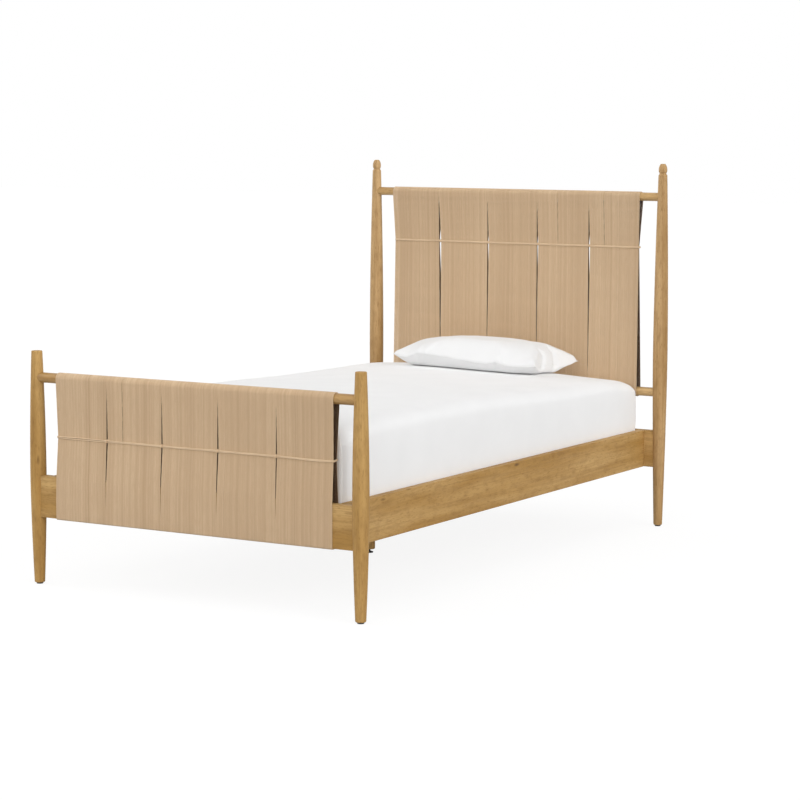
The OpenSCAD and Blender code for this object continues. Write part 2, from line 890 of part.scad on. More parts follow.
module fitting_screws() {
    color(steel)
        for (side = [-1, 1], e = [-1, 1], k = [-1, 1])
            translate([side * side_x, e > 0 ? head_inner_y : foot_inner_y, fitting_z]) {
                translate([0, 0, k * keeper_screw_dz])
                    rotate([-e * 90, 0, 0])
                        cylinder(d = screw_d, h = fitting_screw_l);
                translate([0, 0, k * hook_screw_dz])
                    rotate([e * 90, 0, 0])
                        cylinder(d = screw_d, h = fitting_screw_l);
            }
}

module post_pads() {
    color(black)
        for (side = [-1, 1], y = [foot_y, head_y])
            translate([side * post_x, y, 0])
                union() {
                    cylinder(d = pad_d, h = pad_t);
                    cylinder(d = pin_d, h = pad_t + pin_l);
                }
}

// Soft solids
module mattress() {
    low_r = 25;
    color(linen)
        hull()
            for (sx = [-1, 1], y = [mattress_y0 + mattress_corner_r, mattress_y1 - mattress_corner_r])
                translate([sx * (mattress_x - mattress_corner_r), y, 0])
                    rotate_extrude($fn = 32)
                        polygon(concat(
                            [[0, mattress_z]],
                            arc([mattress_corner_r - low_r, mattress_z + low_r], low_r, -90, 0, 3),
                            arc([mattress_corner_r - mattress_edge_r, mattress_top - mattress_edge_r],
                                mattress_edge_r, 0, 90, 5),
                            [[0, mattress_top]]
                        ));
}

module pillow() {
    tip = 7;
    seam = pillow_z + 0.42 * pillow_t;
    crown_w = 0.84 * pillow_w;
    crown_l = 0.92 * pillow_l;
    color(linen)
        translate([0, pillow_y, 0])
            hull() {
                for (sx = [-1, 1], sy = [-1, 1])
                    translate([sx * (pillow_w / 2 - tip), sy * (pillow_l / 2 - tip), seam])
                        sphere(r = tip, $fn = 16);
                translate([0, 0, pillow_z + pillow_t / 2])
                    scale([crown_w / 2, crown_l / 2, pillow_t / 2])
                        sphere(r = 1, $fn = 32);
            }
}

foot_post(1);  // foot_post_left
foot_post(-1);  // foot_post_right
head_post(1);  // head_post_left
head_post(-1);  // head_post_right
dowel(foot_y, foot_dowel_z, foot_dowel_d, foot_dowel_seat);  // foot_top_dowel
end_rail(foot_y, foot_rail_seat, 1);  // foot_rail
dowel(head_y, head_dowel_z, head_dowel_d, head_dowel_seat);  // head_top_dowel
dowel(head_y, low_dowel_z, low_dowel_d, low_dowel_seat);  // head_lower_dowel
end_rail(head_y, head_rail_seat, -1);  // head_rail
for (i = [1 : sections]) foot_rope(i);
for (i = [1 : sections]) head_rope(i);
binding_cord(foot_y, foot_bind_z, foot_waist);  // foot_binding_cord
binding_cord(head_y, head_bind_z, head_waist);  // head_binding_cord
cord_ties(foot_y, foot_bind_z, foot_waist);  // foot_cord_ties
cord_ties(head_y, head_bind_z, head_waist);  // head_cord_ties
side_rail(-1);  // side_rail_left
side_rail(1);  // side_rail_right
ledger(-1);  // ledger_left
ledger(1);  // ledger_right
ledger_screws();
for (i = [1 : slat_n]) slat(i);
slat_screws();
cross_beam();
beam_brackets();
beam_bracket_screws();
leg_plate();
leg_plate_screws();
centre_leg();
leg_hanger_bolt();
leg_insert();
glide_stem();
glide_foot();
hook_plates();
keeper_plates();
fitting_screws();
post_pads();
mattress();
pillow();
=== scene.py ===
import math
import random

import bpy
from mathutils import Matrix, Vector, noise


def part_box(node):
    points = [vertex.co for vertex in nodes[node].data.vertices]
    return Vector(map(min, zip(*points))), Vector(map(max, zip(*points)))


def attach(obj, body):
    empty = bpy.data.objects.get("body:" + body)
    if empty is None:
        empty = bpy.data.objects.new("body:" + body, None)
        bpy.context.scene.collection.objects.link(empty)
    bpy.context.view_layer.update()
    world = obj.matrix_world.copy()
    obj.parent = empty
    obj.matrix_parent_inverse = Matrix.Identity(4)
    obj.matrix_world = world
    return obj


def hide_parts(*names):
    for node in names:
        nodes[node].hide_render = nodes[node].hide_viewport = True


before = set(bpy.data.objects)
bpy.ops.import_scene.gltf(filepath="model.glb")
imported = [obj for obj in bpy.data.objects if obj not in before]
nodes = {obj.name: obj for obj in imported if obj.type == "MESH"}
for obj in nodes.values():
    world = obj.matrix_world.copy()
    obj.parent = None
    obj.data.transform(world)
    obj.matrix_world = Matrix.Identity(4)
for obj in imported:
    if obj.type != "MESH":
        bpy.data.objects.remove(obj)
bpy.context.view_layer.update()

# ---------------------------------------------------------------- studio
# The bed stands on a seamless pale floor under soft lamps, as furniture is shown for sale. The
# camera looks across it from beyond the right-hand corner of the foot, a little above the
# headboard's height.
mm = 0.001
scene = bpy.context.scene
scene.view_settings.view_transform = "Standard"

camera_place = (4.1743, -6.7962, 1.4197)
camera_turn = 30.86
camera_dip = 6.58
camera_tilt = 0.18
camera_data = bpy.data.cameras.new("camera")
camera_data.sensor_width = 36
camera_data.lens = 111.843
camera = bpy.data.objects.new("camera", camera_data)
scene.collection.objects.link(camera)
camera.matrix_world = (
    Matrix.Translation(camera_place)
    @ Matrix.Rotation(math.radians(camera_turn), 4, "Z")
    @ Matrix.Rotation(math.radians(90 - camera_dip), 4, "X")
    @ Matrix.Rotation(math.radians(camera_tilt), 4, "Z")
)
scene.camera = camera


def far_lamp(name, turn, height, width, strength):
    """A wide soft lamp far away. turn is from the foot's side towards +X, height over the floor and
    width are how it looks from the bed, all in degrees."""
    data = bpy.data.lights.new(name, "SUN")
    data.angle = math.radians(width)
    data.energy = strength
    lamp = bpy.data.objects.new(name, data)
    scene.collection.objects.link(lamp)
    lamp.rotation_euler = (math.radians(90 - height), 0, math.radians(turn))


far_lamp("key_lamp", 12, 20, 45, 0.8)
far_lamp("side_lamp", 74, 18, 50, 1.7)
far_lamp("left_lamp", -76, 24, 50, 1.3)
far_lamp("top_lamp", 20, 72, 50, 0.22)


def add_node(tree, kind, props=None, **sockets):
    """Adds a shader node. props are its own settings; sockets go by name, as a value or as a link."""
    made = tree.nodes.new(kind)
    for key, value in (props or {}).items():
        setattr(made, key, value)
    for key, value in sockets.items():
        socket = made.inputs[key.replace("_", " ")]
        if isinstance(value, bpy.types.NodeSocket):
            tree.links.new(value, socket)
        else:
            socket.default_value = value
    return made


def calc(tree, kind, a, b):
    """A Math node of that kind on a and b, each a value or a link."""
    made = tree.nodes.new("ShaderNodeMath")
    made.operation = kind
    for socket, value in zip(made.inputs, (a, b)):
        if isinstance(value, bpy.types.NodeSocket):
            tree.links.new(value, socket)
        else:
            socket.default_value = value
    return made.outputs[0]


def part_of(tree, value, share):
    """A value times a plain share."""
    return calc(tree, "MULTIPLY", value, share)


def seen_directly(tree):
    """1 for what the camera sees itself, in gloss or through glass, and 0 for what lights the bed."""
    path = tree.nodes.new("ShaderNodeLightPath").outputs
    seen = calc(tree, "MAXIMUM", path["Is Camera Ray"], path["Is Glossy Ray"])
    return calc(tree, "MAXIMUM", seen, path["Is Transmission Ray"])


sky = bpy.data.worlds.new("pale_sky")
sky.use_nodes = True
sky_tree = sky.node_tree
sky_glow = add_node(sky_tree, "ShaderNodeBackground", Color=(1, 1, 1, 1), Strength=0.445)
sky_white = add_node(sky_tree, "ShaderNodeBackground", Color=(1, 1, 1, 1), Strength=1.0)
sky_mix = add_node(sky_tree, "ShaderNodeMixShader", Fac=seen_directly(sky_tree))
sky_tree.links.new(sky_glow.outputs[0], sky_mix.inputs[1])
sky_tree.links.new(sky_white.outputs[0], sky_mix.inputs[2])
sky_tree.links.new(sky_mix.outputs[0], sky_tree.nodes["World Output"].inputs["Surface"])
scene.world = sky

bpy.ops.object.select_all(action="DESELECT")
bpy.ops.mesh.primitive_plane_add(size=60, location=(0, 0, 0))
floor = bpy.context.object
floor.name = "floor"
floor_paint = bpy.data.materials.new("floor_paint")
floor_paint.use_nodes = True
floor_tree = floor_paint.node_tree
floor_tree.nodes.remove(floor_tree.nodes["Principled BSDF"])
floor_seen = seen_directly(floor_tree)
floor_grey = calc(floor_tree, "SUBTRACT", 0.45, part_of(floor_tree, floor_seen, 0.29))
floor_matt = add_node(floor_tree, "ShaderNodeBsdfDiffuse", Color=floor_grey)
floor_glow = add_node(
    floor_tree, "ShaderNodeEmission", Strength=part_of(floor_tree, floor_seen, 0.88)
)
floor_sum = add_node(floor_tree, "ShaderNodeAddShader")
floor_tree.links.new(floor_matt.outputs[0], floor_sum.inputs[0])
floor_tree.links.new(floor_glow.outputs[0], floor_sum.inputs[1])
floor_tree.links.new(floor_sum.outputs[0], floor_tree.nodes["Material Output"].inputs["Surface"])
floor.data.materials.append(floor_paint)


# ---------------------------------------------------------------- oak posts, dowels and rails
# Turned posts and dowels and flat rails of solid honey-coloured oak, sanded and given a satin
# lacquer. The grain runs along each piece, with fine open pores and a few small dark knots.
def colour(red, green, blue):
    """A colour as it is read on a screen, 0 to 255, for a shader."""
    return tuple(
        (c / 255 / 12.92) if c <= 10 else ((c / 255 + 0.055) / 1.055) ** 2.4 for c in (red, green, blue)
    ) + (1.0,)


def dress(piece, material):
    """Gives a piece one material all over."""
    piece.data.materials.clear()
    piece.data.materials.append(material)


def new_material(name):
    """A material with one Principled shader, and its tree and shader for more nodes."""
    material = bpy.data.materials.new(name)
    material.use_nodes = True
    return material, material.node_tree, material.node_tree.nodes["Principled BSDF"]


def ramp(tree, value, low, high, low_colour=(0, 0, 0, 1), high_colour=(1, 1, 1, 1)):
    """Runs from low_colour where value is low to high_colour where it is high."""
    made = add_node(tree, "ShaderNodeValToRGB", Fac=value)
    made.color_ramp.elements[0].position = low
    made.color_ramp.elements[1].position = high
    made.color_ramp.elements[0].color = low_colour
    made.color_ramp.elements[1].color = high_colour
    return made.outputs["Color"]


def mix_colours(tree, share, a, b, kind="MIX"):
    """Colour a with share of b over it."""
    made = tree.nodes.new("ShaderNodeMix")
    made.data_type = "RGBA"
    made.blend_type = kind
    for socket, value in zip((made.inputs[0], made.inputs[6], made.inputs[7]), (share, a, b)):
        if isinstance(value, bpy.types.NodeSocket):
            tree.links.new(value, socket)
        else:
            socket.default_value = value
    return made.outputs[2]


def sawn_wood(name, along, light, dark, pore, knot, knot_share, gloss, shine=0.2):
    """Wood with its grain along one axis of the bed. light and dark are its tones, pore and knot its
    dark marks, and knot_share how many of the places for a knot have one."""
    material, tree, surface = new_material(name)
    place = tree.nodes.new("ShaderNodeTexCoord").outputs["Object"]

    def grain(across, lengthwise):
        scale = [across] * 3
        scale["XYZ".index(along)] = lengthwise
        return add_node(tree, "ShaderNodeMapping", Vector=place, Scale=scale).outputs[0]

    def streaks(across, lengthwise, detail, twist=0.0):
        made = add_node(
            tree, "ShaderNodeTexNoise", Vector=grain(across, lengthwise), Scale=1.0, Detail=detail,
            Distortion=twist,
        )
        return made.outputs["Fac"]

    tone = streaks(14, 1.4, 3)
    bands = streaks(110, 2.4, 4, 0.8)
    pores = streaks(1150, 34, 2)
    mottle = streaks(55, 22, 3)
    flecks = streaks(240, 60, 2)
    board = ramp(tree, tone, 0.36, 0.64, dark, light)
    for marks, start, full, strength in (
        (bands, 0.44, 0.66, 0.28), (mottle, 0.5, 0.72, 0.3),
        (flecks, 0.56, 0.72, 0.4), (pores, 0.58, 0.72, 0.42),
    ):
        board = mix_colours(tree, part_of(tree, ramp(tree, marks, start, full), strength), board, pore)
    cells = add_node(tree, "ShaderNodeTexVoronoi", Vector=grain(21, 7), Scale=1.0)
    near = add_node(
        tree, "ShaderNodeMapRange", Value=cells.outputs["Distance"], From_Min=0.04, From_Max=0.15,
        To_Min=0.85, To_Max=0.0,
    )
    chosen = add_node(tree, "ShaderNodeSeparateColor", Color=cells.outputs["Color"]).outputs["Red"]
    chosen = calc(tree, "LESS_THAN", chosen, knot_share)
    knots = part_of(tree, near.outputs[0], chosen)
    board = mix_colours(tree, knots, board, knot)
    tree.links.new(board, surface.inputs["Base Color"])
    rough = add_node(
        tree, "ShaderNodeMapRange", Value=pores, From_Min=0.4, From_Max=0.75,
        To_Min=gloss, To_Max=gloss + 0.22,
    )
    tree.links.new(rough.outputs[0], surface.inputs["Roughness"])
    relief = calc(tree, "ADD", part_of(tree, pores, -0.7), part_of(tree, bands, 0.3))
    bump = add_node(tree, "ShaderNodeBump", Height=relief, Strength=0.35, Distance=0.0004)
    tree.links.new(bump.outputs[0], surface.inputs["Normal"])
    surface.inputs["Specular IOR Level"].default_value = shine
    return material


oak_light = colour(202, 165, 108)
oak_dark = colour(171, 131, 71)
oak_pore = colour(128, 92, 48)
oak_knot = colour(86, 58, 32)
foot_light = colour(195, 157, 98)
head_light = colour(198, 163, 116)
head_dark = colour(168, 131, 82)
dowel_light = colour(206, 170, 116)
oak_foot = sawn_wood("oak_foot_posts", "Z", foot_light, oak_dark, oak_pore, oak_knot, 0.5, 0.5)
oak_head = sawn_wood("oak_head_posts", "Z", head_light, head_dark, oak_pore, oak_knot, 0.3, 0.5)
oak_dowel = sawn_wood("oak_dowels", "X", dowel_light, oak_dark, oak_pore, oak_knot, 0.1, 0.28, 0.5)
oak_across = sawn_wood("oak_across", "X", oak_light, oak_dark, oak_pore, oak_knot, 0.2, 0.5)
oak_lengthwise = sawn_wood("oak_lengthwise", "Y", oak_light, oak_dark, oak_pore, oak_knot, 0.35, 0.5)
for wood, names in (
    (oak_foot, ("foot_post_left", "foot_post_right", "centre_leg")),
    (oak_head, ("head_post_left", "head_post_right")),
    (oak_dowel, ("foot_top_dowel", "head_top_dowel", "head_lower_dowel")),
    (oak_across, ("foot_rail", "head_rail")),
    (oak_lengthwise, ("side_rail_left", "side_rail_right")),
):
    for name in names:
        dress(nodes[name], wood)

# ---------------------------------------------------------------- slats, ledgers and cross beam
# Slats, the ledger strips that they lie on and the beam under the middle one are planed pine,
# paler than the oak and left without lacquer.
pine_light = colour(222, 196, 150)
pine_dark = colour(203, 170, 118)
pine_pore = colour(172, 132, 80)
pine_knot = colour(128, 84, 44)
pine_across = sawn_wood("pine_across", "X", pine_light, pine_dark, pine_pore, pine_knot, 0.16, 0.6)
pine_lengthwise = sawn_wood("pine_lengthwise", "Y", pine_light, pine_dark, pine_pore, pine_knot, 0.16, 0.6)
for name in [f"slat_{i}" for i in range(1, 14)] + ["cross_beam"]:
    dress(nodes[name], pine_across)
for name in ("ledger_left", "ledger_right"):
    dress(nodes[name], pine_lengthwise)


# ---------------------------------------------------------------- screws, plates and brackets
# Screws, rail fittings, brackets and the leg's plate and bolt are mild steel, zinc plated, with
# a faint brushed grain.
def plated_steel(name, tone, roughness, brushed):
    """Bright steel with fine scratches across its faces."""
    material, tree, surface = new_material(name)
    place = tree.nodes.new("ShaderNodeTexCoord").outputs["Object"]
    lines = add_node(tree, "ShaderNodeMapping", Vector=place, Scale=(900, 900, 4200)).outputs[0]
    lines = add_node(tree, "ShaderNodeTexNoise", Vector=lines, Scale=1.0, Detail=3.0).outputs["Fac"]
    cloud = add_node(tree, "ShaderNodeTexNoise", Vector=place, Scale=90.0, Detail=3.0).outputs["Fac"]
    tint = ramp(tree, cloud, 0.3, 0.7, [c * 0.8 for c in tone[:3]] + [1], tone)
    tree.links.new(tint, surface.inputs["Base Color"])
    rough = add_node(
        tree, "ShaderNodeMapRange", Value=lines, From_Min=0.3, From_Max=0.7,
        To_Min=roughness - 0.08, To_Max=roughness + 0.1,
    )
    tree.links.new(rough.outputs[0], surface.inputs["Roughness"])
    bump = add_node(tree, "ShaderNodeBump", Height=lines, Strength=brushed, Distance=0.0001)
    tree.links.new(bump.outputs[0], surface.inputs["Normal"])
    surface.inputs["Metallic"].default_value = 1.0
    return material


zinc = plated_steel("zinc_plate", colour(205, 207, 210), 0.34, 0.25)
for name in (
    "ledger_screws", "slat_screws", "beam_brackets", "beam_bracket_screws", "leg_plate",
    "leg_plate_screws", "leg_hanger_bolt", "leg_insert", "hook_plates", "keeper_plates", "fitting_screws",
):
    dress(nodes[name], zinc)


# ---------------------------------------------------------------- pads and glide
# The pads under the posts and the foot of the middle leg's glide are moulded black plastic; the
# glide's threaded stem is blackened steel.
def moulded_plastic(name, tone, roughness):
    """Dull plastic with the fine spark texture of its mould."""
    material, tree, surface = new_material(name)
    place = tree.nodes.new("ShaderNodeTexCoord").outputs["Object"]
    spark = add_node(tree, "ShaderNodeTexNoise", Vector=place, Scale=1800.0, Detail=2.0).outputs["Fac"]
    worn = add_node(tree, "ShaderNodeTexNoise", Vector=place, Scale=60.0, Detail=3.0).outputs["Fac"]
    tint = ramp(tree, worn, 0.35, 0.75, tone, [c * 1.7 for c in tone[:3]] + [1])
    tree.links.new(tint, surface.inputs["Base Color"])
    bump = add_node(tree, "ShaderNodeBump", Height=spark, Strength=0.3, Distance=0.0001)
    tree.links.new(bump.outputs[0], surface.inputs["Normal"])
    surface.inputs["Roughness"].default_value = roughness
    return material


black_plastic = moulded_plastic("black_plastic", colour(30, 29, 28), 0.55)
dress(nodes["post_pads"], black_plastic)
dress(nodes["glide_foot"], black_plastic)
dress(nodes["glide_stem"], plated_steel("blackened_steel", colour(62, 62, 64), 0.4, 0.2))


# ---------------------------------------------------------------- wound panels
# Each end panel is five sections of twisted paper cord, three millimetres thick, wound in closed
# turns over the cross members, side by side. Between two sections the cords part in a slit,
# widest where the binding cord draws them in.
def arc(centre, radius, start, end, steps):
    """Points along an arc, from the start angle to the end angle in degrees."""
    angles = [math.radians(start + (end - start) * i / steps) for i in range(steps + 1)]
    return [(centre[0] + radius * math.cos(a), centre[1] + radius * math.sin(a)) for a in angles]


def tangent_angle(centre, radius, point, turn):
    """Angle on the circle at which a straight cord from point touches it."""
    away = (point[0] - centre[0], point[1] - centre[1])
    return math.degrees(math.atan2(away[1], away[0]) + turn * math.acos(radius / math.hypot(*away)))


def with_heights(points, heights):
    """The same line with a point added wherever it crosses one of those heights."""
    for height in heights:
        for i in range(len(points) - 1):
            (u0, z0), (u1, z1) = points[i], points[i + 1]
            if (z0 - height) * (z1 - height) < -1e-12:
                share = (height - z0) / (z1 - z0)
                points.insert(i + 1, (u0 + (u1 - u0) * share, height))
                break
    return points


def tube_mesh(name, lines, sides, plane_y=None):
    """One mesh of closed cords. Each line is (points, tint, radius, facing), where facing is the side
    that the cord's seam line starts on. The UV map holds turns round the cord, and metres along. Where
    plane_y is given, inward is 1 on the side of a cord that faces that plane, where the
    cord's material paints shade."""
    vertices, faces, uvs, tints, inward = [], [], [], [], []
    for points, tint, radius, facing in lines:
        count = len(points)
        first = len(vertices)
        runs = [(points[(i + 1) % count] - points[i - 1]).normalized() for i in range(count)]
        outs = [(facing - runs[0] * facing.dot(runs[0])).normalized()]
        for run in runs[1:] + runs[:1]:
            outs.append((outs[-1] - run * outs[-1].dot(run)).normalized())
        side = runs[0].cross(outs[0])
        slip = math.atan2(outs[-1].dot(side), outs[-1].dot(outs[0]))
        marks = [0.0]
        for i, point in enumerate(points):
            side = runs[i].cross(outs[i])
            for k in range(sides):
                angle = 2 * math.pi * k / sides - slip * i / count
                vertices.append(point + radius * (math.cos(angle) * outs[i] + math.sin(angle) * side))
                if plane_y is not None:
                    inward.append((abs(point.y - plane_y) - abs(vertices[-1].y - plane_y)) / radius)
            marks.append(marks[-1] + (points[(i + 1) % count] - point).length)
        tints += [tint] * (sides * count)
        for i in range(count):
            j = (i + 1) % count
            for k in range(sides):
                m = (k + 1) % sides
                here, there = first + i * sides, first + j * sides
                faces.append((here + k, there + k, there + m, here + m))
                uvs += [
                    k / sides, marks[i], k / sides, marks[i + 1],
                    (k + 1) / sides, marks[i + 1], (k + 1) / sides, marks[i],
                ]
    mesh = bpy.data.meshes.new(name)
    mesh.from_pydata(vertices, [], faces)
    mesh.uv_layers.new(name="along").data.foreach_set("uv", uvs)
    mesh.attributes.new("tint", "FLOAT", "POINT").data.foreach_set("value", tints)
    if inward:
        mesh.attributes.new("inward", "FLOAT", "POINT").data.foreach_set("value", inward)
    mesh.shade_smooth()
    piece = bpy.data.objects.new(name, mesh)
    scene.collection.objects.link(piece)
    return piece


def paper_cord(name, pale, deep, lay, relief):
    """Twisted paper: tint runs from deep to pale, and the three plies turn once in each lay, with painted
    shade in the grooves between them. Each cord is a little patchy along its length, and the side of
    each cord that faces the gap between the wound layers has painted shade, a near black-brown."""
    material, tree, surface = new_material(name)
    tint = add_node(tree, "ShaderNodeAttribute", {"attribute_name": "tint"}).outputs["Fac"]
    along = add_node(tree, "ShaderNodeUVMap", {"uv_map": "along"}).outputs["UV"]
    parts = add_node(tree, "ShaderNodeSeparateXYZ", Vector=along).outputs
    turns = calc(tree, "ADD", parts["X"], calc(tree, "DIVIDE", parts["Y"], lay))
    plies = calc(tree, "SINE", part_of(tree, turns, 3 * math.pi), 0.0)
    plies = calc(tree, "ABSOLUTE", plies, 0.0)
    place = tree.nodes.new("ShaderNodeTexCoord").outputs["Object"]
    fibre = add_node(tree, "ShaderNodeTexNoise", Vector=place, Scale=900.0, Detail=3.0).outputs["Fac"]
    cloud = add_node(tree, "ShaderNodeTexNoise", Vector=place, Scale=5.0, Detail=4.0).outputs["Fac"]
    shade = mix_colours(tree, tint, deep, pale)
    shade = mix_colours(tree, part_of(tree, ramp(tree, cloud, 0.3, 0.7), 0.25), shade, deep)
    # Painted shade: where the plies meet, the colour darkens towards a deeper brown, standing in for the
    # shade in the grooves between them.
    ply_groove_shade = add_node(
        tree, "ShaderNodeMapRange", Value=plies, From_Min=0.0, From_Max=0.6, To_Min=0.35, To_Max=0.0
    )
    shade = mix_colours(tree, ply_groove_shade.outputs[0], shade, [c * 0.6 for c in deep[:3]] + [1])
    shade = mix_colours(tree, part_of(tree, ramp(tree, fibre, 0.45, 0.7), 0.22), shade, pale)
    cord_by_cord = part_of(tree, tint, 90.0)
    metres_along = part_of(tree, parts["Y"], 26.0)
    shift = add_node(tree, "ShaderNodeCombineXYZ", X=cord_by_cord, Y=metres_along).outputs[0]
    patch = add_node(tree, "ShaderNodeTexNoise", Vector=shift, Scale=1.0, Detail=3.0).outputs["Fac"]
    shade = mix_colours(tree, part_of(tree, ramp(tree, patch, 0.42, 0.62), 0.3), shade, deep)
    # Painted shade: the side of each cord that faces the gap between the wound layers is darkened to a
    # near black-brown.
    inward = add_node(tree, "ShaderNodeAttribute", {"attribute_name": "inward"}).outputs["Fac"]
    shade = mix_colours(tree, ramp(tree, inward, 0.25, 0.6), shade, colour(58, 32, 9))
    tree.links.new(shade, surface.inputs["Base Color"])
    height = calc(tree, "ADD", plies, part_of(tree, fibre, 0.3))
    bump = add_node(tree, "ShaderNodeBump", Height=height, Strength=relief, Distance=0.0004)
    tree.links.new(bump.outputs[0], surface.inputs["Normal"])
    surface.inputs["Roughness"].default_value = 0.8
    surface.inputs["Specular IOR Level"].default_value = 0.25
    surface.inputs["Sheen Weight"].default_value = 0.3
    surface.inputs["Sheen Roughness"].default_value = 0.35
    return material


cord_lay = 12 * mm
wound_cord = paper_cord("wound_paper_cord", colour(228, 202, 168), colour(203, 173, 138), cord_lay, 0.3)
cord_radius = 1.46 * mm
cord_stand_off = 1.55 * mm
cord_pitch = 2.99 * mm
rail_rounding = 3 * mm
tint_drift = 0.25
seam_half_gap = 0.55 * mm
seam_spread = 0.12
random.seed(11)


def turn_shape(end, panel):
    """Half of one turn of cord, from the top of its upper member to its lowest point, as
    (distance from the panel's middle plane, height)."""
    low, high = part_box(end + "_top_dowel")
    top = (0.0, (low.z + high.z) / 2)
    top_radius = (high.z - low.z) / 2 + cord_stand_off
    low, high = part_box(end + "_binding_cord")
    waist = (panel["waist"] / 2 - cord_radius, (low.z + high.z) / 2)
    if end == "foot":
        low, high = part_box("foot_rail")
        radius = rail_rounding + cord_stand_off
        in_plane = (high.y - low.y) / 2 - rail_rounding
        upper, lower = (in_plane, high.z - rail_rounding), (in_plane, low.z + rail_rounding)
        bottom = arc(upper, radius, tangent_angle(upper, radius, waist, -1), 0, 3)
        bottom += arc(lower, radius, 0, -90, 4)
    else:
        low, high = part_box("head_lower_dowel")
        centre = (0.0, (low.z + high.z) / 2)
        radius = (high.z - low.z) / 2 + cord_stand_off
        bottom = arc(centre, radius, tangent_angle(centre, radius, waist, -1), -90, 7)
    shape = arc(top, top_radius, 90, tangent_angle(top, top_radius, waist, 1), 7) + [waist] + bottom
    return with_heights(shape, [waist[1] + step * mm for step in panel["steps"]]), waist


def between(values, z, top, waist_z, foot):
    """Reads off three values that stand at the top, at the waist and at the foot of a panel."""
    if z > waist_z:
        return values[1] + (values[0] - values[1]) * min(1.0, (z - waist_z) / (top - waist_z))
    return values[1] + (values[2] - values[1]) * min(1.0, (waist_z - z) / (waist_z - foot))


def opening(gap, z, waist_z):
    """How wide a slit stands open at a height. gap is (width at the waist, top, foot) in millimetres."""
    width, top, foot = gap
    if z > waist_z:
        share = (z / mm - waist_z / mm) / (top - waist_z / mm)
    else:
        share = (waist_z - z) / (waist_z - foot * mm)
    return width * mm * max(0.0, 1 - share) ** 0.7


# For each panel: waist is how thick it is at the binding cord, top and foot are the heights that
# lines refers to, lines holds the x of its two edges and four slits in millimetres at the top, the
# waist and the foot, gaps is what opening reads, steps are heights over the waist in millimetres at
# which a cord may bend, and seams says where, as a share of a section, two cords stand a little apart.
panels = {
    "foot": {
        "waist": 20 * mm, "top": 604 * mm, "foot": 263 * mm,
        "lines": (
            (-488.5, -488, -493), (-299, -304.3, -306.3), (-99, -104, -106.8),
            (99.5, 94.3, 92), (300.2, 296, 297.8), (491.8, 487.6, 487.8),
        ),
        "gaps": ((5.2, 606, 250), (4.9, 604, 245), (5.0, 602, 262), (4.1, 598, 270)),
        "steps": (-205, -185, -150, -110, -70, -30, -5, 5, 30, 70, 105, 130, 146),
        "seams": {2: 0.29},
    },
    "head": {
        "waist": 8 * mm, "top": 1117 * mm, "foot": 492 * mm,
        "lines": (
            (-494, -490.5, -489.5), (-302.3, -302.8, -292.5), (-103.3, -105.5, -101.5),
            (95.6, 93, 98.5), (298.8, 296, 302), (492.7, 486, 491.3),
        ),
        "gaps": ((8.5, 1121, 480), (5.6, 1112, 492), (5.9, 1108, 492), (6.4, 1106, 500)),
        "steps": (-460, -430, -380, -300, -200, -100, -40, -5, 5, 40, 80, 115, 138, 150),
        "seams": {4: 0.4, 5: 0.29},
    },
}
for end, panel in panels.items():
    half, waist = turn_shape(end, panel)
    low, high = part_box(end + "_rail")
    plane_y = (low.y + high.y) / 2
    reach = (panel["top"], waist[1], panel["foot"])
    for section in range(1, 6):
        node = f"{end}_rope_{section}"
        left, right = panel["lines"][section - 1], panel["lines"][section]
        seam = panel["seams"].get(section)
        count = round((right[1] - left[1]) * mm / cord_pitch)
        lines = []
        tone = random.uniform(0.4, 0.6)
        for i in range(count):
            share = (i + 0.5) / count
            tone = (1 - tint_drift) * tone + tint_drift * random.uniform(-0.1, 1.1)
            tint = min(1.0, max(0.0, tone + random.gauss(0, 0.13)))
            lean = random.gauss(0, 0.04 * mm)
            proud = abs(random.gauss(0, 0.05 * mm))
            points = []
            for side, part in ((-1, half), (1, half[-2:0:-1])):
                for u, z in part:
                    x0, x1 = between(left, z, *reach) * mm, between(right, z, *reach) * mm
                    if section > 1:
                        x0 += opening(panel["gaps"][section - 2], z, waist[1]) / 2
                    if section < 5:
                        x1 -= opening(panel["gaps"][section - 1], z, waist[1]) / 2
                    x = x0 + share * (x1 - x0) + lean
                    if seam is not None and z > waist[1] - 1e-6 and side < 0:
                        apart = seam_half_gap * math.exp(-(((share - seam) / seam_spread) ** 2))
                        x += apart if share > seam else -apart
                    points.append(Vector((x, plane_y + side * (u + proud), z)))
            lines.append((points, tint, cord_radius, Vector((1, 0, 0))))
        piece = tube_mesh(f"{node}_cords", lines, 6, plane_y)
        dress(piece, wound_cord)
        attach(piece, "bed_frame")
        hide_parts(node)

# ---------------------------------------------------------------- binding cords
# Two turns of the same cord run round each panel, pulled tight one over the other. They draw both
# wound layers in to a waist.
def round_panel(half_x, half_y, bend, steps):
    """Points round a long rounded rectangle, as (x, y), anticlockwise seen from above."""
    straight = half_x - bend
    front = [(straight * (2 * i / steps - 1), -half_y) for i in range(steps)]
    ring = front + arc((straight, bend - half_y), bend, -90, 0, 4)
    ring += arc((straight, half_y - bend), bend, 0, 90, 4)
    ring += [(-x, -y) for x, y in front[1:]]
    ring += arc((-straight, half_y - bend), bend, 90, 180, 4)
    return ring + arc((-straight, bend - half_y), bend, 180, 270, 4)[:-1]


def swell(value, middle, spread):
    """A smooth bump, 1 at middle and near 0 beyond twice spread."""
    return math.exp(-(((value - middle) / spread) ** 2))


